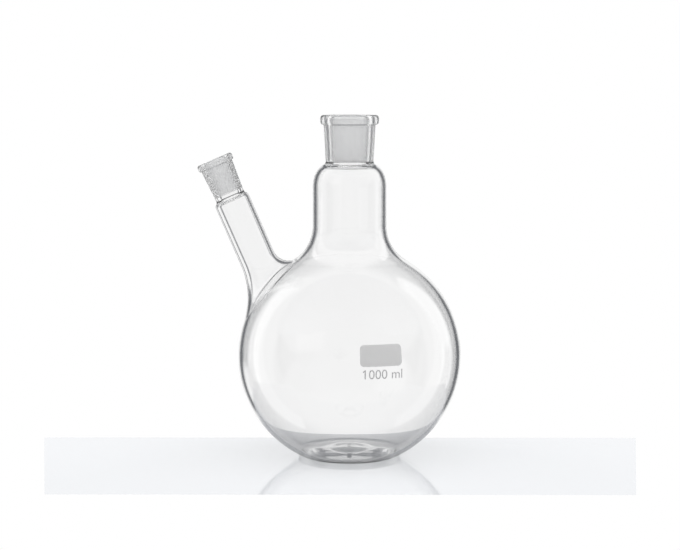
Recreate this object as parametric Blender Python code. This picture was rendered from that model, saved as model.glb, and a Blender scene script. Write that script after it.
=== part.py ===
"""A 1000 ml laboratory flask with two necks and a flattened base.

Metres, +Z up. The flask stands on z = 0 with its base centred on the origin. The centre neck is on
the Z axis, the side neck leans to -X, and the enamel prints face -Y. Each glass piece is its own
object, with a narrow seam to its neighbour.
"""

from math import acos, asin, atan2, cos, pi, radians, sin, sqrt
from typing import NamedTuple

import bmesh
import bpy
from mathutils import Euler, Vector

MM = 0.001
SEAM = 0.3 * MM
MERGE_DISTANCE = 0.001 * MM
SHARP_ANGLE = radians(40)

# The ball and its base
BULB_RADIUS = 65.5 * MM
BULB_CENTRE = 59.6 * MM
BULB_WALL = 2.2 * MM
BASE_CORNER = 7.0 * MM
FLOOR_CORNER = 6.0 * MM
FLOOR_THICKNESS = 5.8 * MM
FLOOR_DOME_RADIUS = 143.0 * MM
BULB_SEGMENTS = 48

# The collar, a hollow curve that leads from the ball into the centre neck
COLLAR_RADIUS = 24.0 * MM
COLLAR_TOP = 138.5 * MM

# The slanted side neck: the middle of its rim, its lean, and the hollow curve round its root
SIDE_RIM = Vector((-79.3, 0.0, 175.3)) * MM
SIDE_LEAN = radians(23.4)
ROOT_BLEND_INSIDE = 9.0 * MM
ROOT_BLEND_OUTSIDE = 45.0 * MM
ROOT_BLEND_POWER = 3

# Ground joints taper by 1 in 10 on the diameter
JOINT_TAPER = 0.05

# How a socket's rim bead is rounded, as shares of its height
BEAD_LIP = 0.25
BEAD_TOP = 0.375
BEAD_FOOT = 0.35

# How many straight steps stand for a curve
BALL_STEPS = 15
COLLAR_STEPS = 5
SHOULDER_STEPS = 5
ROOT_STEPS = 5
WELD_STEPS = 4
CORNER_STEPS = 3


class NeckSize(NamedTuple):
    """A tube that closes in to a ground socket; depths are measured down from the socket's rim."""

    tube_radius: float
    tube_wall: float
    shoulder_centre: float
    shoulder_height: float
    shoulder_depth: float
    bore_radius: float
    socket_wall: float
    weld_depth: float
    weld_size: float
    bead_radius: float
    bead_height: float
    segments: int


CENTRE = NeckSize(
    tube_radius=21.6 * MM,
    tube_wall=2.2 * MM,
    shoulder_centre=12.0 * MM,
    shoulder_height=14.0 * MM,
    shoulder_depth=41.9 * MM,
    bore_radius=12.0 * MM,
    socket_wall=3.35 * MM,
    weld_depth=29.0 * MM,
    weld_size=2.0 * MM,
    bead_radius=17.2 * MM,
    bead_height=5.7 * MM,
    segments=36,
)
SIDE = NeckSize(
    tube_radius=10.6 * MM,
    tube_wall=2.1 * MM,
    shoulder_centre=7.6 * MM,
    shoulder_height=3.6 * MM,
    shoulder_depth=27.5 * MM,
    bore_radius=7.25 * MM,
    socket_wall=2.6 * MM,
    weld_depth=23.9 * MM,
    weld_size=1.2 * MM,
    bead_radius=11.0 * MM,
    bead_height=4.2 * MM,
    segments=32,
)
CENTRE_RIM_HEIGHT = 201.2 * MM

# Enamel prints: turn round the Z axis from the front, height above the base, and size
PRINT_GAP = 0.3 * MM
PRINT_THICKNESS = 0.3 * MM
SPOT_TURN = radians(15.9)
SPOT_HEIGHT = 68.8 * MM
SPOT_WIDTH = 24.3 * MM
SPOT_TALLNESS = 12.2 * MM
SPOT_CORNER = 2.3 * MM
CAPACITY_TEXT = "1000 ml"
CAPACITY_TURN = radians(16.7)
CAPACITY_HEIGHT = 58.3 * MM
CAPACITY_WIDTH = 23.1 * MM
DIGIT_TALLNESS = 5.1 * MM
# Outline of the digit 1, in the built-in font's units
DIGIT_ONE = (
    (0.3, 0.0),
    (0.3, 0.682),
    (0.235, 0.682),
    (0.08, 0.56),
    (0.08, 0.465),
    (0.202, 0.55),
    (0.202, 0.0),
)


def spread(start, end, steps):
    """Evenly spaced values from start to end, both included."""
    return [start + (end - start) * step / steps for step in range(steps + 1)]


def arc(centre, radius, start, end, steps):
    """Points of a circular arc in the (r, z) plane."""
    return [(centre[0] + radius * cos(a), centre[1] + radius * sin(a)) for a in spread(start, end, steps)]


def shoulder(centre, width, height, start, end, steps):
    """Points of an elliptical arc in the (r, z) plane."""
    return [(centre[0] + width * cos(a), centre[1] + height * sin(a)) for a in spread(start, end, steps)]


def bend(start, corner, end, steps):
    """A smooth bend from start to end that is tangent to both sides of the corner."""
    points = []
    for t in spread(0.0, 1.0, steps):
        weights = ((1 - t) ** 2, 2 * t * (1 - t), t**2)
        points.append(
            tuple(sum(w * p[i] for w, p in zip(weights, (start, corner, end))) for i in range(2))
        )
    return points


def mesh_object(name, bm, material):
    """Closes, orients and smooths a bmesh, and puts it in the scene as a named object."""
    bmesh.ops.remove_doubles(bm, verts=bm.verts, dist=MERGE_DISTANCE)
    bmesh.ops.recalc_face_normals(bm, faces=bm.faces)
    mesh = bpy.data.meshes.new(name)
    bm.to_mesh(mesh)
    bm.free()
    mesh.shade_smooth()
    mesh.set_sharp_from_angle(angle=SHARP_ANGLE)
    mesh.materials.append(material)
    obj = bpy.data.objects.new(name, mesh)
    bpy.context.scene.collection.objects.link(obj)
    return obj


def turned(name, outline, segments, material):
    """A solid of revolution about Z from an (r, z) outline."""
    bm = bmesh.new()
    verts = [bm.verts.new((r, 0.0, z)) for r, z in outline]
    edges = [bm.edges.new(pair) for pair in zip(verts, verts[1:])]
    bmesh.ops.spin(
        bm, geom=verts + edges, cent=(0, 0, 0), axis=(0, 0, 1), angle=2 * pi, steps=segments, use_merge=True
    )
    return mesh_object(name, bm, material)


def skinned(name, outline_at, segments, material):
    """Like a turned solid, but with an outline that changes with the angle round the axis."""
    bm = bmesh.new()
    rings = []
    for angle in spread(0.0, 2 * pi, segments)[:-1]:
        points = [(r * cos(angle), r * sin(angle), z) for r, z in outline_at(angle)]
        rings.append([bm.verts.new(point) for point in points])
    for ring, following in zip(rings, rings[1:] + rings[:1]):
        for here in range(len(ring) - 1):
            bm.faces.new((ring[here], ring[here + 1], following[here + 1], following[here]))
    return mesh_object(name, bm, material)


def collar_centre():
    """Centre of the hollow collar curve, outside the glass, which touches both the ball and the neck."""
    reach = CENTRE.tube_radius + COLLAR_RADIUS
    rise = sqrt((BULB_RADIUS + COLLAR_RADIUS) ** 2 - reach**2)
    return reach, BULB_CENTRE + rise


def base_corner_centre():
    """Centre of the rounding between the ball and the flat base, touching both from within."""
    reach = sqrt((BULB_RADIUS - BASE_CORNER) ** 2 - (BULB_CENTRE - BASE_CORNER) ** 2)
    return reach, BASE_CORNER


def floor_corner_centre():
    """Centre of the inner rounding, between the domed floor and the inside of the ball."""
    from_dome = FLOOR_DOME_RADIUS + FLOOR_CORNER
    from_ball = BULB_RADIUS - BULB_WALL - FLOOR_CORNER
    dome_centre = FLOOR_THICKNESS - FLOOR_DOME_RADIUS
    span = BULB_CENTRE - dome_centre
    rise = (from_dome**2 - from_ball**2 + span**2) / (2 * span)
    return sqrt(from_dome**2 - rise**2), dome_centre + rise


def ball_wall(radius, corner, corner_radius, corner_start, collar_radius):
    """One surface of the bulb, from the base corner over the ball to the top of the collar."""
    collar = collar_centre()
    low = atan2(corner[1] - BULB_CENTRE, corner[0])
    high = atan2(collar[1] - BULB_CENTRE, collar[0])
    points = arc(corner, corner_radius, corner_start, low, CORNER_STEPS)
    points += arc((0.0, BULB_CENTRE), radius, low, high, BALL_STEPS)[1:]
    points += arc(collar, collar_radius, high + pi, pi, COLLAR_STEPS)[1:]
    points.append((collar[0] - collar_radius, COLLAR_TOP - SEAM / 2))
    return points


def bulb_outline():
    """Outer surface from the middle of the base to the collar, then the inner surface back down."""
    outer_corner = base_corner_centre()
    inner_corner = floor_corner_centre()
    dome_centre = FLOOR_THICKNESS - FLOOR_DOME_RADIUS
    floor_edge = atan2(inner_corner[1] - dome_centre, inner_corner[0])
    outer = ball_wall(BULB_RADIUS, outer_corner, BASE_CORNER, -pi / 2, COLLAR_RADIUS)
    inner = ball_wall(
        BULB_RADIUS - BULB_WALL, inner_corner, FLOOR_CORNER, floor_edge - pi, COLLAR_RADIUS + BULB_WALL
    )
    floor = arc((0.0, dome_centre), FLOOR_DOME_RADIUS, floor_edge, pi / 2, CORNER_STEPS)
    return [(0.0, 0.0)] + outer + inner[::-1] + floor[1:]


def weld_bend(size):
    """The outer hollow where the socket meets the shoulder; its middle point is on the weld."""
    wall_radius = size.bore_radius + size.socket_wall - JOINT_TAPER * (size.weld_depth - size.weld_size)
    crown_angle = shoulder_weld_angle(size)
    width = size.tube_radius - size.shoulder_centre
    end = (
        size.shoulder_centre + width * cos(crown_angle),
        -size.shoulder_depth + size.shoulder_height * sin(crown_angle),
    )
    start = (wall_radius, size.weld_size - size.weld_depth)
    return bend(start, (wall_radius, end[1] + size.weld_size / 4), end, WELD_STEPS)


def shoulder_weld_angle(size):
    """Angle on the shoulder ellipse where the weld bend begins, one weld size beyond the socket."""
    socket_radius = size.bore_radius + size.socket_wall - JOINT_TAPER * size.weld_depth
    reach = (socket_radius + size.weld_size - size.shoulder_centre) / (size.tube_radius - size.shoulder_centre)
    return acos(reach)


def socket_outline(size):
    """A ground socket from its weld up round the bead rim and down its tapered bore; z = 0 is the rim."""
    outer_top = size.bore_radius + size.socket_wall - JOINT_TAPER * size.bead_height
    bulge = size.bead_radius
    height = size.bead_height
    lip = BEAD_LIP * height
    top = BEAD_TOP * height
    foot = (1 + BEAD_FOOT) * height
    weld = weld_bend(size)
    weld_height = weld[2][1] + SEAM / 2
    outline = [(weld[2][0], weld_height), weld[1], weld[0]]
    outline += bend((outer_top, -foot), (outer_top, -height), (bulge - lip, -height), CORNER_STEPS)
    outline += bend((bulge - lip, -height), (bulge, -height), (bulge, -height / 2), CORNER_STEPS)[1:]
    outline += bend((bulge, -height / 2), (bulge, 0.0), (bulge - top, 0.0), CORNER_STEPS)[1:]
    mouth = size.bore_radius
    outline += bend((mouth + lip, 0.0), (mouth, 0.0), (mouth, -lip), CORNER_STEPS)
    outline.append((mouth + JOINT_TAPER * weld_height, weld_height))
    return outline + outline[:1]


def neck_top(size):
    """Outer and inner surface of a neck from its tube up over the shoulder to the weld; z = 0 is the rim."""
    centre = (size.shoulder_centre, -size.shoulder_depth)
    width = size.tube_radius - size.shoulder_centre
    weld = weld_bend(size)
    weld_angle = shoulder_weld_angle(size)
    outer = shoulder(centre, width, size.shoulder_height, 0.0, weld_angle, SHOULDER_STEPS)
    outer += [weld[3], (weld[2][0], weld[2][1] - SEAM / 2)]
    inner_width = width - size.tube_wall
    inner_height = size.shoulder_height - size.tube_wall
    inner = shoulder(centre, inner_width, inner_height, 0.0, pi / 2, SHOULDER_STEPS)
    throat_radius = size.bore_radius + JOINT_TAPER * weld[2][1]
    crown = inner[-1]
    throat_end = (throat_radius, (crown[1] + weld[2][1]) / 2)
    inner += bend(crown, (throat_radius, crown[1]), throat_end, CORNER_STEPS)[1:]
    inner.append((throat_radius, weld[2][1] - SEAM / 2))
    return outer, inner


def centre_neck_outline():
    """The wide neck, from its seam on the collar to the weld under the socket."""
    outer, inner = neck_top(CENTRE)
    foot = COLLAR_TOP + SEAM / 2 - CENTRE_RIM_HEIGHT
    outline = [(CENTRE.tube_radius, foot)] + outer + inner[::-1]
    outline.append((CENTRE.tube_radius - CENTRE.tube_wall, foot))
    return outline + outline[:1]


def ball_from_side_rim():
    """The ball's centre in the side neck's own frame: how far it lies off the axis, and how far below."""
    centre = Vector((0.0, 0.0, BULB_CENTRE)) - SIDE_RIM
    centre.rotate(Euler((0.0, SIDE_LEAN, 0.0)))
    return centre.x, centre.z


def root_blend(angle):
    """Radius of the hollow round the side neck's root: tight towards the centre neck, wide outside."""
    outward = ((1 - cos(angle)) / 2) ** ROOT_BLEND_POWER
    return ROOT_BLEND_INSIDE + (ROOT_BLEND_OUTSIDE - ROOT_BLEND_INSIDE) * outward


def root_arc(angle, depth, steps, shortfall):
    """One surface of the side neck's root, from the tube out onto the ball.

    depth is how far below the glass's outer surface it runs, and shortfall is the length left out at
    its end. In the half-plane at this angle, the ball is a circle and the blend touches it.
    """
    offset, drop = ball_from_side_rim()
    ball_r = offset * cos(angle)
    ball_radius = sqrt((BULB_RADIUS - depth) ** 2 - (offset * sin(angle)) ** 2)
    radius = root_blend(angle) + depth
    centre_r = SIDE.tube_radius - depth + radius
    centre_z = drop + sqrt((ball_radius + radius) ** 2 - (centre_r - ball_r) ** 2)
    end = atan2(drop - centre_z, ball_r - centre_r) + 2 * pi
    return arc((centre_r, centre_z), radius, pi, end - shortfall / radius, steps)


def side_neck_outline(angle):
    """The slanted tube at one angle round its axis, from its flared root to the weld under the socket."""
    outer_top, inner_top = neck_top(SIDE)
    outer_root = root_arc(angle, 0.0, ROOT_STEPS, SEAM)
    inner_root = root_arc(angle, BULB_WALL, ROOT_STEPS, SEAM)
    outline = outer_root[::-1] + outer_top + inner_top[::-1] + inner_root
    return outline + outline[:1]


def side_port_outline(angle):
    """A plug through the ball's wall, shaped like the edge of the side neck's root."""
    outer = root_arc(angle, 0.0, 1, 0.0)[-1]
    inner = root_arc(angle, BULB_WALL, 1, 0.0)[-1]
    above = tuple(2 * o - i for o, i in zip(outer, inner))
    below = tuple(2 * i - o for o, i in zip(outer, inner))
    return [(0.0, above[1]), above, outer, inner, below, (0.0, below[1])]


def lean_with_side_neck(obj):
    """Places an object that was modelled upright with its rim at z = 0 as the side neck stands."""
    obj.location = SIDE_RIM
    obj.rotation_euler = (0.0, -SIDE_LEAN, 0.0)
    return obj


def build_bulb(material):
    """The blown ball with its collar, and the port that the side neck is sealed over."""
    bulb = turned("bulb", bulb_outline(), BULB_SEGMENTS, material)
    plug = lean_with_side_neck(skinned("side_port_cutter", side_port_outline, SIDE.segments, material))
    plug.hide_render = True
    plug.display_type = "WIRE"
    cut = bulb.modifiers.new("side_port", "BOOLEAN")
    cut.operation = "DIFFERENCE"
    cut.solver = "EXACT"
    cut.object = plug


def build_centre_neck(material):
    """The wide neck and its socket, on the Z axis."""
    neck = turned("centre_neck", centre_neck_outline(), CENTRE.segments, material)
    socket = turned("centre_socket", socket_outline(CENTRE), CENTRE.segments, material)
    for piece in (neck, socket):
        piece.location = (0.0, 0.0, CENTRE_RIM_HEIGHT)


def build_side_neck(material):
    """The slanted neck and its socket."""
    lean_with_side_neck(skinned("side_neck", side_neck_outline, SIDE.segments, material))
    lean_with_side_neck(turned("side_socket", socket_outline(SIDE), SIDE.segments, material))


def lay_on_bulb(name, bm, turn, height, material):
    """Turns a flat print, drawn in x and y about its middle, into a thin curved skin on the ball."""
    sides = bmesh.ops.extrude_face_region(bm, geom=bm.faces[:])
    for part in sides["geom"]:
        if isinstance(part, bmesh.types.BMVert):
            part.co.z = PRINT_THICKNESS
    middle = asin((height - BULB_CENTRE) / BULB_RADIUS)
    for vert in bm.verts:
        latitude = middle + vert.co.y / BULB_RADIUS
        longitude = turn + vert.co.x / (BULB_RADIUS * cos(middle))
        reach = BULB_RADIUS + PRINT_GAP + vert.co.z
        vert.co = (
            reach * cos(latitude) * sin(longitude),
            -reach * cos(latitude) * cos(longitude),
            BULB_CENTRE + reach * sin(latitude),
        )
    return mesh_object(name, bm, material)


def build_marking_spot(material):
    """The light field for pencil notes: a rectangle with rounded corners."""
    bm = bmesh.new()
    columns = []
    straight = SPOT_WIDTH / 2 - SPOT_CORNER
    corner_steps = [SPOT_CORNER * sin(a) for a in spread(0.0, pi / 2, 3)][1:]
    right = spread(0.0, straight, 4) + [straight + step for step in corner_steps]
    for x in [-value for value in right[:0:-1]] + right:
        past = max(abs(x) - straight, 0.0)
        half = SPOT_TALLNESS / 2 - SPOT_CORNER + sqrt(max(SPOT_CORNER**2 - past**2, 0.0))
        columns.append([bm.verts.new((x, y, 0.0)) for y in spread(-half, half, 3)])
    for left, following in zip(columns, columns[1:]):
        for row in range(len(left) - 1):
            bm.faces.new((left[row], following[row], following[row + 1], left[row + 1]))
    lay_on_bulb("marking_spot", bm, SPOT_TURN, SPOT_HEIGHT, material)


def font_mesh(text):
    """The filled outline of a text in the plain built-in font, flat, in the font's own units."""
    curve = bpy.data.curves.new("letter", "FONT")
    curve.body = text
    curve.resolution_u = 3
    source = bpy.data.objects.new("letter", curve)
    mesh = bpy.data.meshes.new_from_object(source)
    bpy.data.objects.remove(source)
    return mesh


def right_edge(text):
    """Where a text in the built-in font ends, in the font's own units."""
    return max(vert.co.x for vert in font_mesh(text).vertices)


def flat_letter(letter):
    """One character as a flat bmesh; the font's digit 1 is a bare bar, so it gets its flag here."""
    bm = bmesh.new()
    if letter == "1":
        bm.faces.new([bm.verts.new((x, y, 0.0)) for x, y in DIGIT_ONE])
    else:
        bm.from_mesh(font_mesh(letter))
    return bm


def build_capacity_marking(material):
    """The capacity in plain characters, each its own print."""
    left = min(x for x, _ in DIGIT_ONE)
    digit_top = max(y for _, y in DIGIT_ONE)
    across = CAPACITY_WIDTH / (right_edge(CAPACITY_TEXT) - left)
    up = DIGIT_TALLNESS / digit_top
    for place, letter in enumerate(CAPACITY_TEXT):
        if letter == " ":
            continue
        start = right_edge(CAPACITY_TEXT[: place + 1]) - right_edge(letter) - left
        bm = flat_letter(letter)
        for vert in bm.verts:
            vert.co.x = (vert.co.x + start) * across - CAPACITY_WIDTH / 2
            vert.co.y = vert.co.y * up - DIGIT_TALLNESS / 2
        name = f"capacity_digit_{place + 1}" if letter.isdigit() else f"capacity_letter_{letter}"
        lay_on_bulb(name, bm, CAPACITY_TURN, CAPACITY_HEIGHT, material)


def principled(name, color, roughness, transmission):
    """A non-metallic Principled material; transmission is 1 for clear glass and 0 for enamel."""
    material = bpy.data.materials.new(name)
    material.use_nodes = True
    shader = material.node_tree.nodes["Principled BSDF"]
    shader.inputs["Base Color"].default_value = (*color, 1.0)
    shader.inputs["Roughness"].default_value = roughness
    shader.inputs["Metallic"].default_value = 0.0
    shader.inputs["Transmission Weight"].default_value = transmission
    return material


def main():
    for obj in list(bpy.data.objects):
        bpy.data.objects.remove(obj)
    glass = principled("borosilicate_glass", (0.95, 0.97, 0.97), 0.02, 1.0)
    build_bulb(glass)
    build_centre_neck(glass)
    build_side_neck(glass)
    build_marking_spot(principled("matt_enamel", (0.66, 0.66, 0.66), 0.7, 0.0))
    build_capacity_marking(principled("grey_enamel", (0.45, 0.45, 0.46), 0.5, 0.0))


main()
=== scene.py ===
"""Looks of the two-neck flask: fine glass walls, ground sockets, enamel prints, a pale table and soft light.

Metres, +Z up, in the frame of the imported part. Every glass piece is a closed mesh of its own. Where two
pieces are sealed together their end faces coincide and let light through unbent, as fused glass does.
"""

from math import acos, asin, atan2, ceil, cos, pi, radians, sin, sqrt, tan
from typing import NamedTuple

import bmesh
import bpy
from mathutils import Euler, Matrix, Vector


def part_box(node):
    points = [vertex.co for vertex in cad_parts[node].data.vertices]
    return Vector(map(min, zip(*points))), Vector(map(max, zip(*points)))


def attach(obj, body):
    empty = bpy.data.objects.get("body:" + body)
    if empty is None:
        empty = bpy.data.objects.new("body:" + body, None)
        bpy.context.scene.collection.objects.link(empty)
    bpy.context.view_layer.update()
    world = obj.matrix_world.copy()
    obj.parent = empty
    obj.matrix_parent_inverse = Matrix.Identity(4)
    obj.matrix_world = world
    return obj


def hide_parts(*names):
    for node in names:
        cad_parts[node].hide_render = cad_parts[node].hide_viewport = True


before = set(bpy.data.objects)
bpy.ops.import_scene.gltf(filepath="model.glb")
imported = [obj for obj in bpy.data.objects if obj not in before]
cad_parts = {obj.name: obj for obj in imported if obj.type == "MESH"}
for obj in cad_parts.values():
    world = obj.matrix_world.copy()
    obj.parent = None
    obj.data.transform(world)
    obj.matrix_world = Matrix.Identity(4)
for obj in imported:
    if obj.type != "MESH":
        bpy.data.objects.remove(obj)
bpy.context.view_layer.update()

MM = 0.001
MERGE_DISTANCE = 0.0005 * MM
SHARP_ANGLE = radians(40)

# Longest straight step that stands for a curve
STEP = 1.3 * MM
STEP_TURN = radians(5)
BEND_STEPS = 10
WELD_STEPS = 16

# The ball and its base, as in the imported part
BULB_RADIUS = 65.5 * MM
BULB_CENTRE = 59.6 * MM
BULB_WALL = 2.2 * MM
BASE_CORNER = 7.0 * MM
FLOOR_CORNER = 6.0 * MM
FLOOR_THICKNESS = 5.8 * MM
FLOOR_DOME_RADIUS = 143.0 * MM
COLLAR_RADIUS = 24.0 * MM
COLLAR_TOP = 138.5 * MM
BULB_SEGMENTS = 224
# A shallow hollow in the middle of the base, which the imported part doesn't have
BASE_HOLLOW = 1.0 * MM
BASE_HOLLOW_RADIUS = 17.0 * MM
BASE_HOLLOW_STEPS = 20
# How near a corner lies to the ball, and how well its face's normal agrees, to be shaded as the ball
BALL_TOLERANCE = 0.02 * MM
BALL_LIKENESS = 0.98

# The slanted side neck: the middle of its rim, its lean, and the hollow round its root, whose radius
# grows from the side towards the centre neck to the outside
SIDE_RIM = Vector((-79.3, 0.0, 175.3)) * MM
SIDE_LEAN = radians(23.4)
ROOT_BLEND_INSIDE = 9.0 * MM
ROOT_BLEND_OUTSIDE = 45.0 * MM
ROOT_BLEND_POWER = 3
ROOT_STEPS = 24

# How much a ground joint's radius shrinks with depth
JOINT_TAPER = 0.05
# Shares of the bead's height: the roundings at the mouth and under the bead, the rounding on its outer
# top edge, the hollow below it, and the fire-polished mouth above the ground surface
BEAD_LIP = 0.25
BEAD_TOP = 0.375
BEAD_FOOT = 0.35
GROUND_TOP = 0.4


class NeckSize(NamedTuple):
    """A tube that closes in to a ground socket; depths are measured down from the socket's rim."""

    tube_radius: float
    tube_wall: float
    shoulder_centre: float
    shoulder_height: float
    shoulder_depth: float
    bore_radius: float
    socket_wall: float
    ground_depth: float
    weld_depth: float
    weld_size: float
    bead_radius: float
    bead_height: float
    segments: int


CENTRE = NeckSize(
    tube_radius=21.6 * MM,
    tube_wall=2.2 * MM,
    shoulder_centre=12.0 * MM,
    shoulder_height=14.0 * MM,
    shoulder_depth=41.9 * MM,
    bore_radius=12.0 * MM,
    socket_wall=3.35 * MM,
    ground_depth=27.3 * MM,
    weld_depth=29.0 * MM,
    weld_size=2.0 * MM,
    bead_radius=17.2 * MM,
    bead_height=5.7 * MM,
    segments=BULB_SEGMENTS,
)
SIDE = NeckSize(
    tube_radius=10.6 * MM,
    tube_wall=2.1 * MM,
    shoulder_centre=7.6 * MM,
    shoulder_height=3.6 * MM,
    shoulder_depth=27.5 * MM,
    bore_radius=7.25 * MM,
    socket_wall=2.6 * MM,
    ground_depth=21.5 * MM,
    weld_depth=23.9 * MM,
    weld_size=1.2 * MM,
    bead_radius=11.0 * MM,
    bead_height=4.2 * MM,
    segments=160,
)
CENTRE_RIM_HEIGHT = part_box("centre_socket")[1].z

# Enamel prints: gap to the glass, thickness and longest step, then for each print its turn round the
# Z axis from the front, its height above the base, and its size
PRINT_GAP = 0.04 * MM
PRINT_THICKNESS = 0.04 * MM
PRINT_GRID = 1.0 * MM
SPOT_TURN = radians(15.9)
SPOT_HEIGHT = 68.8 * MM
SPOT_WIDTH = 24.3 * MM
SPOT_TALLNESS = 12.2 * MM
SPOT_CORNER = 2.3 * MM
SPOT_CORNER_STEPS = 10
CAPACITY_TEXT = "1000 ml"
CAPACITY_TURN = radians(16.7)
CAPACITY_HEIGHT = 58.3 * MM
CAPACITY_WIDTH = 23.1 * MM
DIGIT_TALLNESS = 5.1 * MM
LETTER_STEPS = 8
# Outline of the digit 1, in the built-in font's units
DIGIT_ONE = (
    (0.3, 0.0),
    (0.3, 0.682),
    (0.235, 0.682),
    (0.08, 0.56),
    (0.08, 0.465),
    (0.202, 0.55),
    (0.202, 0.0),
)

# The camera stands in front, a little above the rim; VIEW_WIDTH is what it sees across at the aim
CAMERA_PLACE = Vector((0.0, -1100.0, 224.0)) * MM
CAMERA_AIM = Vector((-5.6, 0.0, 107.3)) * MM
VIEW_WIDTH = 399.8 * MM
SENSOR_WIDTH = 36.0

# The table is a thin pale sheet that ends close behind the flask: its ends, and its left and right there
TABLE_FRONT = -107.0 * MM
TABLE_BACK = 53.2 * MM
TABLE_FRONT_SPAN = (-164 * MM, 154 * MM)
TABLE_BACK_SPAN = (-190 * MM, 178 * MM)
# The air under the flask's base, because two faces in one plane would render black
TABLE_GAP = 0.1 * MM
TABLE_COLOR = (0.6, 0.61, 0.64)
TABLE_ROUGHNESS = 0.05
# The table's own glow, which makes up for the dim room, and what the camera sees on top of that
TABLE_GLOW_COLOR = (0.97, 0.99, 1.0, 1.0)
TABLE_GLOW = 0.14
TABLE_LIFT = 0.19


class Panel(NamedTuple):
    """A far softbox or backdrop: the direction to its middle, half its angles, its edge and its light."""

    azimuth: float
    elevation: float
    half_width: float
    half_height: float
    softness: float
    color: tuple


# Light by direction, each layer over the one before: the dim room, the grey behind the camera, the
# bright ground, then the panels. A fade is full at its first value and gone at its second; the value is
# how far a ray goes towards the camera's side, or upwards.
ROOM = (0.15, 0.155, 0.165)
BEHIND_CAMERA = (0.5, 0.5, 0.5)
BEHIND_CAMERA_FADE = (0.3, -0.1)
GROUND_LIGHT = (1.0, 1.0, 1.0)
GROUND_LIGHT_FADE = (-0.7, -0.4)
# Azimuth runs from +Y, behind the flask, towards +X: overhead, camera side, right, left, a bright strip
# on the right and on the left, low on the left, low on the right of the camera, and the backdrop
PANELS = (
    Panel(pi, radians(62), radians(70), radians(50), 0.6, (0.95, 0.95, 0.95)),
    Panel(pi, 0.0, radians(36), radians(45), 0.5, (0.75, 0.75, 0.75)),
    Panel(radians(70), 0.0, radians(23), radians(50), 0.1, (0.85, 0.85, 0.85)),
    Panel(radians(-73), 0.0, radians(23), radians(60), 0.1, (0.85, 0.85, 0.85)),
    Panel(radians(58), 0.0, radians(11), radians(50), 0.03, (1.2, 1.2, 1.2)),
    Panel(radians(-61), 0.0, radians(11), radians(50), 0.03, (1.2, 1.2, 1.2)),
    Panel(radians(-45), radians(-27), radians(13), radians(17), 0.05, (0.95, 0.95, 0.95)),
    Panel(radians(135), radians(-14), radians(16), radians(16), 0.08, (0.95, 0.95, 0.95)),
    Panel(0.0, radians(-4), radians(18), radians(20), 0.06, (0.92, 0.92, 0.92)),
)
# Least share of a ray's direction along a panel's own for the ray to reach that panel
PANEL_AHEAD = 0.02

# A grain is the scale of its noise and the height of its bump
NOISE_DETAIL = 2.0
NOISE_LOW = 0.3
NOISE_HIGH = 0.7
GLASS_INDEX = 1.473
CLEAR_GRAIN = (45.0, 0.03 * MM)
GROUND_COLOR = (0.96, 0.965, 0.97)
GROUND_TRANSMISSION = 0.74
GROUND_ROUGHNESS = (0.35, 0.55)
GROUND_GRAIN = (1800.0, 0.03 * MM)
# Finely ground glass: Layer Weight's facing value where it starts to turn smooth and where it is
# smoothest, and the share of the roughness that is left there
SLANT_FROM = 0.14
SLANT_TO = 0.24
SLANT_ROUGHNESS = 0.25
# Enamel: how much light it scatters within, how deep, and how far its roughness varies either way
ENAMEL_SCATTER = 0.7
ENAMEL_DEPTH = 0.3 * MM
ENAMEL_UNEVENNESS = 0.1
SPOT_COLOR = (0.93, 0.93, 0.93)
SPOT_ROUGHNESS = 0.7
SPOT_GRAIN = (900.0, 0.02 * MM)
TEXT_COLOR = (0.55, 0.55, 0.56)
TEXT_ROUGHNESS = 0.5
TEXT_GRAIN = (1500.0, 0.01 * MM)

# Order of the glass finishes in a piece's material slots
CLEAR, GROUND, SEAM = range(3)


# --- outlines in the (r, z) plane -------------------------------------------------------------


def spread(start, end, steps):
    """Evenly spaced values from start to end, both included."""
    return [start + (end - start) * step / steps for step in range(steps + 1)]


def arc(centre, radius, start, end, steps=None):
    """Points of a circular arc."""
    turn = abs(end - start)
    steps = steps or max(2, ceil(turn / STEP_TURN), ceil(turn * radius / STEP))
    return [(centre[0] + radius * cos(a), centre[1] + radius * sin(a)) for a in spread(start, end, steps)]


def shoulder(centre, width, height, start, end):
    """Points of an elliptical arc."""
    steps = ceil(abs(end - start) / STEP_TURN)
    return [(centre[0] + width * cos(a), centre[1] + height * sin(a)) for a in spread(start, end, steps)]


def bend(start, corner, end, steps=BEND_STEPS):
    """A smooth bend from start to end that is tangent to both sides of the corner."""
    points = []
    for t in spread(0.0, 1.0, steps):
        weights = ((1 - t) ** 2, 2 * t * (1 - t), t**2)
        points.append(tuple(sum(w * p[i] for w, p in zip(weights, (start, corner, end))) for i in range(2)))
    return points


def straight(start, end):
    """Points along a straight line, both ends included."""
    steps = max(1, ceil(sqrt((end[0] - start[0]) ** 2 + (end[1] - start[1]) ** 2) / STEP))
    return list(zip(spread(start[0], end[0], steps), spread(start[1], end[1], steps)))


def joined(*runs):
    """One closed outline from (finish, points) runs, with the finish of the face after each point."""
    points = []
    finishes = []
    for finish, run in runs:
        for point in run:
            if points and abs(point[0] - points[-1][0]) + abs(point[1] - points[-1][1]) < MERGE_DISTANCE:
                finishes[-1] = finish
                continue
            points.append(point)
            finishes.append(finish)
    return points, finishes


# --- the ball -----------------------------------------------------------------------------------


def collar_centre():
    """Centre of the hollow collar curve, outside the glass, which touches both the ball and the neck."""
    reach = CENTRE.tube_radius + COLLAR_RADIUS
    rise = sqrt((BULB_RADIUS + COLLAR_RADIUS) ** 2 - reach**2)
    return reach, BULB_CENTRE + rise


def base_corner_centre():
    """Centre of the rounding between the ball and the flat base, touching both from within."""
    reach = sqrt((BULB_RADIUS - BASE_CORNER) ** 2 - (BULB_CENTRE - BASE_CORNER) ** 2)
    return reach, BASE_CORNER


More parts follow.
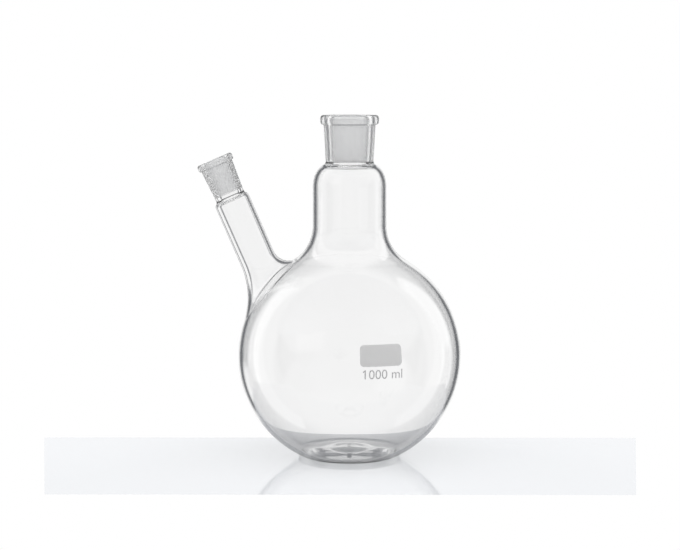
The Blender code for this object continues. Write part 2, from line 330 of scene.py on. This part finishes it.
def base_curve(corner_reach):
    """The underside, from the middle of its hollow over the flat ring to the corner's foot."""
    points = []
    for r in spread(0.0, BASE_HOLLOW_RADIUS, BASE_HOLLOW_STEPS):
        points.append((r, BASE_HOLLOW * (1 + cos(pi * r / BASE_HOLLOW_RADIUS)) / 2))
    return points + straight((BASE_HOLLOW_RADIUS, 0.0), (corner_reach, 0.0))


def floor_corner_centre():
    """Centre of the inner rounding, between the domed floor and the inside of the ball."""
    from_dome = FLOOR_DOME_RADIUS + FLOOR_CORNER
    from_ball = BULB_RADIUS - BULB_WALL - FLOOR_CORNER
    dome_centre = FLOOR_THICKNESS - FLOOR_DOME_RADIUS
    span = BULB_CENTRE - dome_centre
    rise = (from_dome**2 - from_ball**2 + span**2) / (2 * span)
    return sqrt(from_dome**2 - rise**2), dome_centre + rise


def ball_wall(radius, corner, corner_radius, corner_start, collar_radius):
    """One surface of the bulb, from the base corner over the ball to the top of the collar."""
    collar = collar_centre()
    low = atan2(corner[1] - BULB_CENTRE, corner[0])
    high = atan2(collar[1] - BULB_CENTRE, collar[0])
    points = arc(corner, corner_radius, corner_start, low)
    points += arc((0.0, BULB_CENTRE), radius, low, high)[1:]
    points += arc(collar, collar_radius, high + pi, pi)[1:]
    points.append((collar[0] - collar_radius, COLLAR_TOP))
    return points


def bulb_outline():
    """Outer surface from the middle of the base to the collar, then the inner surface back down."""
    outer_corner = base_corner_centre()
    inner_corner = floor_corner_centre()
    dome_centre = FLOOR_THICKNESS - FLOOR_DOME_RADIUS
    floor_edge = atan2(inner_corner[1] - dome_centre, inner_corner[0])
    base = base_curve(outer_corner[0])
    outer = ball_wall(BULB_RADIUS, outer_corner, BASE_CORNER, -pi / 2, COLLAR_RADIUS)
    inner_radius = BULB_RADIUS - BULB_WALL
    inner_collar = COLLAR_RADIUS + BULB_WALL
    inner = ball_wall(inner_radius, inner_corner, FLOOR_CORNER, floor_edge - pi, inner_collar)
    floor = arc((0.0, dome_centre), FLOOR_DOME_RADIUS, floor_edge, pi / 2)
    return joined((CLEAR, base + outer[:-1]), (SEAM, outer[-1:]), (CLEAR, inner[::-1] + floor))


# --- necks and sockets --------------------------------------------------------------------------


def weld_bend(size):
    """The outer hollow where the socket meets the shoulder, and the index of its middle, the weld."""
    wall_radius = size.bore_radius + size.socket_wall - JOINT_TAPER * (size.weld_depth - size.weld_size)
    crown_angle = shoulder_weld_angle(size)
    width = size.tube_radius - size.shoulder_centre
    end = (
        size.shoulder_centre + width * cos(crown_angle),
        -size.shoulder_depth + size.shoulder_height * sin(crown_angle),
    )
    start = (wall_radius, size.weld_size - size.weld_depth)
    points = bend(start, (wall_radius, end[1] + size.weld_size / 4), end, WELD_STEPS)
    return points, len(points) // 2


def shoulder_weld_angle(size):
    """Angle on the shoulder ellipse where the weld bend begins, one weld size beyond the socket."""
    socket_radius = size.bore_radius + size.socket_wall - JOINT_TAPER * size.weld_depth
    reach = socket_radius + size.weld_size - size.shoulder_centre
    return acos(reach / (size.tube_radius - size.shoulder_centre))


def socket_outline(size):
    """A ground socket from its weld up round the bead rim and down its tapered bore; z = 0 is the rim."""
    outer_top = size.bore_radius + size.socket_wall - JOINT_TAPER * size.bead_height
    bulge = size.bead_radius
    height = size.bead_height
    lip = BEAD_LIP * height
    top = BEAD_TOP * height
    foot = (1 + BEAD_FOOT) * height
    mouth = size.bore_radius
    weld, middle = weld_bend(size)
    outside = weld[middle::-1]
    outside += straight(weld[0], (outer_top, -foot))
    outside += bend((outer_top, -foot), (outer_top, -height), (bulge - lip, -height))
    outside += bend((bulge - lip, -height), (bulge, -height), (bulge, -height / 2))
    outside += bend((bulge, -height / 2), (bulge, 0.0), (bulge - top, 0.0))
    outside += bend((mouth + lip, 0.0), (mouth, 0.0), (mouth, -lip))
    ground_start = (mouth - JOINT_TAPER * GROUND_TOP * height, -GROUND_TOP * height)
    ground_end = (mouth - JOINT_TAPER * size.ground_depth, -size.ground_depth)
    throat = (mouth + JOINT_TAPER * weld[middle][1], weld[middle][1])
    outside += straight((mouth, -lip), ground_start)[1:]
    ground = straight(ground_start, ground_end)
    return joined((CLEAR, outside[:-1]), (GROUND, ground[:-1]), (CLEAR, [ground_end]), (SEAM, [throat]))


def neck_top(size):
    """Outer and inner surface of a neck, from its tube over the shoulder to the weld; z = 0 is the rim."""
    centre = (size.shoulder_centre, -size.shoulder_depth)
    width = size.tube_radius - size.shoulder_centre
    weld, middle = weld_bend(size)
    weld_height = weld[middle][1]
    outer = shoulder(centre, width, size.shoulder_height, 0.0, shoulder_weld_angle(size))
    outer += weld[-2 : middle - 1 : -1]
    inner_width = width - size.tube_wall
    inner_height = size.shoulder_height - size.tube_wall
    inner = shoulder(centre, inner_width, inner_height, 0.0, pi / 2)
    throat_radius = size.bore_radius + JOINT_TAPER * weld_height
    crown = inner[-1]
    throat_end = (throat_radius, (crown[1] + weld_height) / 2)
    inner += bend(crown, (throat_radius, crown[1]), throat_end)[1:]
    inner.append((throat_radius, weld_height))
    return outer, inner


def centre_neck_outline():
    """The wide neck, from its seam on the collar to the weld under the socket."""
    outer, inner = neck_top(CENTRE)
    foot = COLLAR_TOP - CENTRE_RIM_HEIGHT
    outer_wall = straight((CENTRE.tube_radius, foot), outer[0])
    inner_wall = straight(inner[0], (CENTRE.tube_radius - CENTRE.tube_wall, foot))
    return joined(
        (CLEAR, outer_wall + outer[:-1]),
        (SEAM, outer[-1:]),
        (CLEAR, inner[::-1] + inner_wall[:-1]),
        (SEAM, inner_wall[-1:]),
    )


def ball_from_side_rim():
    """The ball's centre in the side neck's own frame: how far it lies off the axis, and how far below."""
    centre = Vector((0.0, 0.0, BULB_CENTRE)) - SIDE_RIM
    centre.rotate(Euler((0.0, SIDE_LEAN, 0.0)))
    return centre.x, centre.z


def root_blend(angle):
    """Radius of the hollow round the side neck's root: tight towards the centre neck, wide outside."""
    outward = ((1 - cos(angle)) / 2) ** ROOT_BLEND_POWER
    return ROOT_BLEND_INSIDE + (ROOT_BLEND_OUTSIDE - ROOT_BLEND_INSIDE) * outward


def root_arc(angle, depth):
    """One surface of the side neck's root, from the tube out onto the ball.

    depth is how far below the glass's outer surface it runs. In the half-plane at this angle, the
    ball is a circle and the blend touches it.
    """
    offset, drop = ball_from_side_rim()
    ball_r = offset * cos(angle)
    ball_radius = sqrt((BULB_RADIUS - depth) ** 2 - (offset * sin(angle)) ** 2)
    radius = root_blend(angle) + depth
    centre_r = SIDE.tube_radius - depth + radius
    centre_z = drop + sqrt((ball_radius + radius) ** 2 - (centre_r - ball_r) ** 2)
    end = atan2(drop - centre_z, ball_r - centre_r) + 2 * pi
    return arc((centre_r, centre_z), radius, pi, end, ROOT_STEPS)


def side_neck_outline(angle):
    """The slanted tube at one angle round its axis, from its flared root to the weld under the socket."""
    outer_top, inner_top = neck_top(SIDE)
    outer_root = root_arc(angle, 0.0)
    inner_root = root_arc(angle, BULB_WALL)
    outer_wall = list(zip(*(spread(a, b, ROOT_STEPS) for a, b in zip(outer_root[0], outer_top[0]))))
    inner_wall = list(zip(*(spread(a, b, ROOT_STEPS) for a, b in zip(inner_top[0], inner_root[0]))))
    return joined(
        (CLEAR, outer_root[::-1] + outer_wall[1:] + outer_top[1:-1]),
        (SEAM, outer_top[-1:]),
        (CLEAR, inner_top[::-1] + inner_wall[1:] + inner_root[1:-1]),
        (SEAM, inner_root[-1:]),
    )


def side_port_outline(angle):
    """A plug through the ball's wall, shaped like the edge of the side neck's root."""
    outer = root_arc(angle, 0.0)[-1]
    inner = root_arc(angle, BULB_WALL)[-1]
    above = tuple(2 * o - i for o, i in zip(outer, inner))
    below = tuple(2 * i - o for o, i in zip(outer, inner))
    points = [(0.0, above[1]), above, outer, inner, below, (0.0, below[1])]
    return points, [SEAM] * len(points)


# --- meshes -------------------------------------------------------------------------------------


def mesh_object(name, bm, materials):
    """Closes, orients and smooths a bmesh, and puts it in the scene as a named object."""
    bmesh.ops.remove_doubles(bm, verts=bm.verts, dist=MERGE_DISTANCE)
    bmesh.ops.recalc_face_normals(bm, faces=bm.faces)
    mesh = bpy.data.meshes.new(name)
    bm.to_mesh(mesh)
    bm.free()
    mesh.shade_smooth()
    mesh.set_sharp_from_angle(angle=SHARP_ANGLE)
    for material in materials:
        mesh.materials.append(material)
    obj = bpy.data.objects.new(name, mesh)
    bpy.context.scene.collection.objects.link(obj)
    return obj


def swept(name, outline_at, segments, materials):
    """A closed outline carried round the Z axis; it may change with the angle."""
    bm = bmesh.new()
    rings = []
    for angle in spread(0.0, 2 * pi, segments)[:-1]:
        points, finishes = outline_at(angle)
        rings.append([bm.verts.new((r * cos(angle), r * sin(angle), z)) for r, z in points])
    for ring, following in zip(rings, rings[1:] + rings[:1]):
        for here, finish in enumerate(finishes):
            there = (here + 1) % len(ring)
            corners = (ring[here], ring[there], following[there], following[here])
            bm.faces.new(corners).material_index = finish
    on_axis = [edge for edge in bm.edges if all(vert.co.xy.length < MERGE_DISTANCE for vert in edge.verts)]
    bmesh.ops.delete(bm, geom=on_axis, context="EDGES_FACES")
    return mesh_object(name, bm, materials)


def turned(name, outline, segments, materials):
    """A solid of revolution about the Z axis."""
    return swept(name, lambda angle: outline, segments, materials)


def lean_with_side_neck(obj):
    """Places an object that was modelled upright with its rim at z = 0 as the side neck stands."""
    obj.location = SIDE_RIM
    obj.rotation_euler = (0.0, -SIDE_LEAN, 0.0)
    return obj


def smooth_as_ball(obj):
    """Gives the corners of faces that lie on the ball's two surfaces the ball's own normals."""
    mesh = obj.data
    centre = Vector((0.0, 0.0, BULB_CENTRE))
    turn = obj.matrix_world.to_3x3()
    normals = [(0.0, 0.0, 0.0)] * len(mesh.loops)
    for face in mesh.polygons:
        facing = turn @ face.normal
        for corner in face.loop_indices:
            out = obj.matrix_world @ mesh.vertices[mesh.loops[corner].vertex_index].co - centre
            for radius, side in ((BULB_RADIUS, 1.0), (BULB_RADIUS - BULB_WALL, -1.0)):
                normal = side * out.normalized()
                if abs(out.length - radius) < BALL_TOLERANCE and facing.dot(normal) > BALL_LIKENESS:
                    normals[corner] = to_local(obj, normal)
    mesh.normals_split_custom_set(normals)


def to_local(obj, direction):
    """A world direction in the object's own axes."""
    return obj.matrix_world.to_3x3().inverted() @ direction


def finish_glass(obj, node):
    """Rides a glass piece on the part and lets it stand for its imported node."""
    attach(obj, "root")
    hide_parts(node)


def build_bulb(materials):
    """The blown ball with its collar, and the port that the side neck is sealed over."""
    bulb = turned("glass_bulb", bulb_outline(), BULB_SEGMENTS, materials)
    plug = lean_with_side_neck(swept("port_plug", side_port_outline, SIDE.segments, materials))
    cut = bulb.modifiers.new("side_port", "BOOLEAN")
    cut.operation = "DIFFERENCE"
    cut.solver = "EXACT"
    cut.object = plug
    whole = bpy.data.meshes.new_from_object(bulb.evaluated_get(bpy.context.evaluated_depsgraph_get()))
    bulb.modifiers.remove(cut)
    bulb.data = whole
    bpy.data.objects.remove(plug)
    bpy.context.view_layer.update()
    smooth_as_ball(bulb)
    finish_glass(bulb, "bulb")


def build_centre_neck(materials):
    """The wide neck and its socket, on the Z axis."""
    neck = turned("glass_centre_neck", centre_neck_outline(), CENTRE.segments, materials)
    socket = turned("glass_centre_socket", socket_outline(CENTRE), CENTRE.segments, materials)
    for piece in (neck, socket):
        piece.location = (0.0, 0.0, CENTRE_RIM_HEIGHT)
    finish_glass(neck, "centre_neck")
    finish_glass(socket, "centre_socket")


def build_side_neck(materials):
    """The slanted neck and its socket."""
    neck = lean_with_side_neck(swept("glass_side_neck", side_neck_outline, SIDE.segments, materials))
    socket = lean_with_side_neck(turned("glass_side_socket", socket_outline(SIDE), SIDE.segments, materials))
    bpy.context.view_layer.update()
    smooth_as_ball(neck)
    finish_glass(neck, "side_neck")
    finish_glass(socket, "side_socket")


# --- enamel prints ------------------------------------------------------------------------------


def lay_on_bulb(name, bm, turn, height, material):
    """Turns a flat print, drawn in x and y about its middle, into a thin curved skin on the ball."""
    sides = bmesh.ops.extrude_face_region(bm, geom=bm.faces[:])
    for part in sides["geom"]:
        if isinstance(part, bmesh.types.BMVert):
            part.co.z = PRINT_THICKNESS
    middle = asin((height - BULB_CENTRE) / BULB_RADIUS)
    for vert in bm.verts:
        latitude = middle + vert.co.y / BULB_RADIUS
        longitude = turn + vert.co.x / (BULB_RADIUS * cos(middle))
        reach = BULB_RADIUS + PRINT_GAP + vert.co.z
        vert.co = (
            reach * cos(latitude) * sin(longitude),
            -reach * cos(latitude) * cos(longitude),
            BULB_CENTRE + reach * sin(latitude),
        )
    return mesh_object(name, bm, [material])


def build_marking_spot(material):
    """The light field for pencil notes: a rectangle with rounded corners."""
    bm = bmesh.new()
    columns = []
    flat = SPOT_WIDTH / 2 - SPOT_CORNER
    corner_steps = [SPOT_CORNER * sin(a) for a in spread(0.0, pi / 2, SPOT_CORNER_STEPS)][1:]
    right = spread(0.0, flat, ceil(flat / PRINT_GRID)) + [flat + step for step in corner_steps]
    for x in [-value for value in right[:0:-1]] + right:
        past = max(abs(x) - flat, 0.0)
        half = SPOT_TALLNESS / 2 - SPOT_CORNER + sqrt(max(SPOT_CORNER**2 - past**2, 0.0))
        rows = ceil(SPOT_TALLNESS / PRINT_GRID)
        columns.append([bm.verts.new((x, y, 0.0)) for y in spread(-half, half, rows)])
    for left, following in zip(columns, columns[1:]):
        for row in range(len(left) - 1):
            bm.faces.new((left[row], following[row], following[row + 1], left[row + 1]))
    spot = lay_on_bulb("enamel_marking_spot", bm, SPOT_TURN, SPOT_HEIGHT, material)
    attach(spot, "root")
    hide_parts("marking_spot")


def font_mesh(text):
    """The filled outline of a text in the plain built-in font, flat, in the font's own units."""
    curve = bpy.data.curves.new("letter", "FONT")
    curve.body = text
    curve.resolution_u = LETTER_STEPS
    source = bpy.data.objects.new("letter", curve)
    mesh = bpy.data.meshes.new_from_object(source)
    bpy.data.objects.remove(source)
    return mesh


def right_edge(text):
    """Where a text in the built-in font ends, in the font's own units."""
    return max(vert.co.x for vert in font_mesh(text).vertices)


def flat_letter(letter):
    """One character as a flat bmesh; the font's digit 1 is a bare bar, so it gets its flag here."""
    bm = bmesh.new()
    if letter == "1":
        bm.faces.new([bm.verts.new((x, y, 0.0)) for x, y in DIGIT_ONE])
    else:
        bm.from_mesh(font_mesh(letter))
    return bm


def build_capacity_marking(material):
    """The capacity in plain characters, each its own print."""
    left = min(x for x, _ in DIGIT_ONE)
    digit_top = max(y for _, y in DIGIT_ONE)
    across = CAPACITY_WIDTH / (right_edge(CAPACITY_TEXT) - left)
    up = DIGIT_TALLNESS / digit_top
    for place, letter in enumerate(CAPACITY_TEXT):
        if letter == " ":
            continue
        start = right_edge(CAPACITY_TEXT[: place + 1]) - right_edge(letter) - left
        bm = flat_letter(letter)
        for vert in bm.verts:
            vert.co.x = (vert.co.x + start) * across - CAPACITY_WIDTH / 2
            vert.co.y = vert.co.y * up - DIGIT_TALLNESS / 2
        name = f"capacity_digit_{place + 1}" if letter.isdigit() else f"capacity_letter_{letter}"
        piece = lay_on_bulb(f"enamel_{name}", bm, CAPACITY_TURN, CAPACITY_HEIGHT, material)
        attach(piece, "root")
        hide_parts(name)


# --- materials ----------------------------------------------------------------------------------


def principled(name, color, roughness, **values):
    """A Principled material with uniform values on the shader's own sockets."""
    material = bpy.data.materials.new(name)
    material.use_nodes = True
    shader = material.node_tree.nodes["Principled BSDF"]
    shader.inputs["Base Color"].default_value = (*color, 1.0)
    shader.inputs["Roughness"].default_value = roughness
    for socket, value in values.items():
        shader.inputs[socket.replace("_", " ")].default_value = value
    return material


def add_grain(material, grain):
    """Fine unevenness of a surface, as bump from a noise pattern in the object's own space."""
    scale, height = grain
    nodes = material.node_tree.nodes
    links = material.node_tree.links
    place = nodes.new("ShaderNodeTexCoord")
    noise = nodes.new("ShaderNodeTexNoise")
    noise.inputs["Scale"].default_value = scale
    noise.inputs["Detail"].default_value = NOISE_DETAIL
    bump = nodes.new("ShaderNodeBump")
    bump.inputs["Strength"].default_value = 1.0
    bump.inputs["Distance"].default_value = height
    links.new(place.outputs["Object"], noise.inputs["Vector"])
    links.new(noise.outputs["Fac"], bump.inputs["Height"])
    links.new(bump.outputs["Normal"], nodes["Principled BSDF"].inputs["Normal"])
    return noise.outputs["Fac"]


def vary_roughness(material, pattern, low, high):
    """Lets a noise pattern move the roughness between two values."""
    ramp = material.node_tree.nodes.new("ShaderNodeMapRange")
    ramp.inputs["From Min"].default_value = NOISE_LOW
    ramp.inputs["From Max"].default_value = NOISE_HIGH
    ramp.inputs["To Min"].default_value = low
    ramp.inputs["To Max"].default_value = high
    shader = material.node_tree.nodes["Principled BSDF"]
    material.node_tree.links.new(pattern, ramp.inputs["Value"])
    material.node_tree.links.new(ramp.outputs["Result"], shader.inputs["Roughness"])


def finely_ground(coarse):
    """Ground glass with less roughness where it is met at a slant, because fine grinding mirrors there."""
    material = coarse.copy()
    material.name = "finely_ground_borosilicate"
    nodes = material.node_tree.nodes
    links = material.node_tree.links
    roughness = nodes["Principled BSDF"].inputs["Roughness"]
    slant = nodes.new("ShaderNodeMapRange")
    slant.inputs["From Min"].default_value = SLANT_FROM
    slant.inputs["From Max"].default_value = SLANT_TO
    slant.inputs["To Min"].default_value = 1.0
    slant.inputs["To Max"].default_value = SLANT_ROUGHNESS
    scaled = nodes.new("ShaderNodeMath")
    scaled.operation = "MULTIPLY"
    links.new(nodes.new("ShaderNodeLayerWeight").outputs["Facing"], slant.inputs["Value"])
    links.new(roughness.links[0].from_socket, scaled.inputs[0])
    links.new(slant.outputs["Result"], scaled.inputs[1])
    links.new(scaled.outputs[0], roughness)
    return material


def glass_materials():
    """Clear glass, ground glass and the unseen weld faces, in the order of the finishes."""
    clear = principled("clear_borosilicate", (1.0, 1.0, 1.0), 0.0, Transmission_Weight=1.0, IOR=GLASS_INDEX)
    add_grain(clear, CLEAR_GRAIN)
    smoothest, roughest = GROUND_ROUGHNESS
    ground = principled("ground_borosilicate", GROUND_COLOR, smoothest, IOR=GLASS_INDEX)
    ground_shader = ground.node_tree.nodes["Principled BSDF"]
    ground_shader.inputs["Transmission Weight"].default_value = GROUND_TRANSMISSION
    vary_roughness(ground, add_grain(ground, GROUND_GRAIN), smoothest, roughest)
    seam = principled("fused_weld", (1.0, 1.0, 1.0), 0.0, Alpha=0.0)
    return [clear, ground, seam]


def enamel(name, color, roughness, grain):
    """Fired enamel: matt, slightly rough, with a fine speckle."""
    material = principled(name, color, roughness, Subsurface_Weight=ENAMEL_SCATTER)
    shader = material.node_tree.nodes["Principled BSDF"]
    shader.inputs["Subsurface Radius"].default_value = (1.0, 1.0, 1.0)
    shader.inputs["Subsurface Scale"].default_value = ENAMEL_DEPTH
    pattern = add_grain(material, grain)
    vary_roughness(material, pattern, roughness - ENAMEL_UNEVENNESS, roughness + ENAMEL_UNEVENNESS)
    return material


# --- studio -------------------------------------------------------------------------------------


def build_table():
    """The pale glossy sheet under the flask, brighter for the camera than for the glass."""
    bm = bmesh.new()
    front = [bm.verts.new((x, TABLE_FRONT, -TABLE_GAP)) for x in TABLE_FRONT_SPAN]
    back = [bm.verts.new((x, TABLE_BACK, -TABLE_GAP)) for x in reversed(TABLE_BACK_SPAN)]
    bm.faces.new(front + back)
    material = principled("table", TABLE_COLOR, TABLE_ROUGHNESS, Emission_Color=TABLE_GLOW_COLOR)
    nodes = material.node_tree.nodes
    links = material.node_tree.links
    shader = nodes["Principled BSDF"]
    lift = nodes.new("ShaderNodeMath")
    lift.operation = "MULTIPLY_ADD"
    lift.inputs[1].default_value = TABLE_LIFT
    lift.inputs[2].default_value = TABLE_GLOW
    links.new(nodes.new("ShaderNodeLightPath").outputs["Is Camera Ray"], lift.inputs[0])
    links.new(lift.outputs[0], shader.inputs["Emission Strength"])
    table = mesh_object("table", bm, [material])


def direction(azimuth, elevation):
    """A unit vector; azimuth runs from +Y, behind the flask, towards +X."""
    return Vector((sin(azimuth) * cos(elevation), cos(azimuth) * cos(elevation), sin(elevation)))


class LightTree:
    """Builds the world's colour by direction, one layer over another."""

    def __init__(self, tree, base):
        self.tree = tree
        self.sky = self.add("ShaderNodeTexCoord").outputs["Generated"]
        self.color = self.add("ShaderNodeRGB").outputs[0]
        self.color.default_value = (*base, 1.0)

    def add(self, kind, operation=None, inputs=()):
        """A node with its operation and its inputs, each a value or another node's output."""
        node = self.tree.nodes.new(kind)
        if operation:
            node.operation = operation
        for socket, value in zip(node.inputs, inputs):
            if isinstance(value, bpy.types.NodeSocket):
                self.tree.links.new(value, socket)
            else:
                socket.default_value = value
        return node

    def math(self, operation, *inputs):
        """The output of a Math node."""
        return self.add("ShaderNodeMath", operation, inputs).outputs[0]

    def along(self, axis):
        """How far a ray's direction goes along an axis."""
        return self.add("ShaderNodeVectorMath", "DOT_PRODUCT", (self.sky, axis)).outputs["Value"]

    def fade(self, value, full, none):
        """1 where the value is at full or beyond, 0 at none, and smooth between."""
        node = self.add("ShaderNodeMapRange", None, (value, none, full))
        node.interpolation_type = "SMOOTHSTEP"
        return node.outputs["Result"]

    def lay(self, share, color):
        """Covers the layers so far with a colour, where share is 1."""
        mix = self.add("ShaderNodeMix")
        mix.data_type = "RGBA"
        self.tree.links.new(share, mix.inputs["Factor"])
        self.tree.links.new(self.color, mix.inputs["A"])
        mix.inputs["B"].default_value = (*color, 1.0)
        self.color = mix.outputs["Result"]

    def panel(self, panel):
        """Adds a flat softbox that faces the flask."""
        ahead = direction(panel.azimuth, panel.elevation)
        across = direction(panel.azimuth + pi / 2, 0.0)
        depth = self.along(ahead)
        depth_safe = self.math("MAXIMUM", depth, PANEL_AHEAD)
        share = self.math("GREATER_THAN", depth, PANEL_AHEAD)
        for axis, half in ((across, panel.half_width), (ahead.cross(across), panel.half_height)):
            reach = self.math("ABSOLUTE", self.math("DIVIDE", self.along(axis), depth_safe))
            edge = self.fade(reach, tan(half) - panel.softness, tan(half) + panel.softness)
            share = self.math("MULTIPLY", share, edge)
        self.lay(share, panel.color)


def build_world():
    """White all round for the camera; the glass sees a dim room with a white backdrop and softboxes."""
    world = bpy.data.worlds.new("studio")
    bpy.context.scene.world = world
    world.use_nodes = True
    world.node_tree.nodes.clear()
    tree = LightTree(world.node_tree, ROOM)
    tree.lay(tree.fade(tree.along(direction(pi, 0.0)), *BEHIND_CAMERA_FADE), BEHIND_CAMERA)
    tree.lay(tree.fade(tree.along(Vector((0.0, 0.0, 1.0))), *GROUND_LIGHT_FADE), GROUND_LIGHT)
    for panel in PANELS:
        tree.panel(panel)
    seen = tree.add("ShaderNodeLightPath").outputs["Is Camera Ray"]
    tree.lay(seen, (1.0, 1.0, 1.0))
    background = tree.add("ShaderNodeBackground", None, (tree.color,))
    tree.add("ShaderNodeOutputWorld", None, (background.outputs[0],))


def build_camera():
    """A long lens that looks slightly down."""
    sight = CAMERA_AIM - CAMERA_PLACE
    data = bpy.data.cameras.new("camera")
    data.sensor_width = SENSOR_WIDTH
    data.lens = SENSOR_WIDTH * sight.length / VIEW_WIDTH
    camera = bpy.data.objects.new("camera", data)
    camera.location = CAMERA_PLACE
    camera.rotation_euler = sight.to_track_quat("-Z", "Y").to_euler()
    bpy.context.scene.collection.objects.link(camera)
    bpy.context.scene.camera = camera


def set_up_rendering():
    """Plain colours, and enough bounces for light to cross all the glass walls and their reflections."""
    scene = bpy.context.scene
    scene.view_settings.view_transform = "Standard"
    scene.cycles.max_bounces = 32
    scene.cycles.transmission_bounces = 32
    scene.cycles.glossy_bounces = 16
    scene.cycles.transparent_max_bounces = 64


glass = glass_materials()
build_bulb(glass)
build_centre_neck([glass[CLEAR], finely_ground(glass[GROUND]), glass[SEAM]])
build_side_neck(glass)
build_marking_spot(enamel("matt_enamel", SPOT_COLOR, SPOT_ROUGHNESS, SPOT_GRAIN))
build_capacity_marking(enamel("grey_enamel", TEXT_COLOR, TEXT_ROUGHNESS, TEXT_GRAIN))
build_table()
build_world()
build_camera()
set_up_rendering()
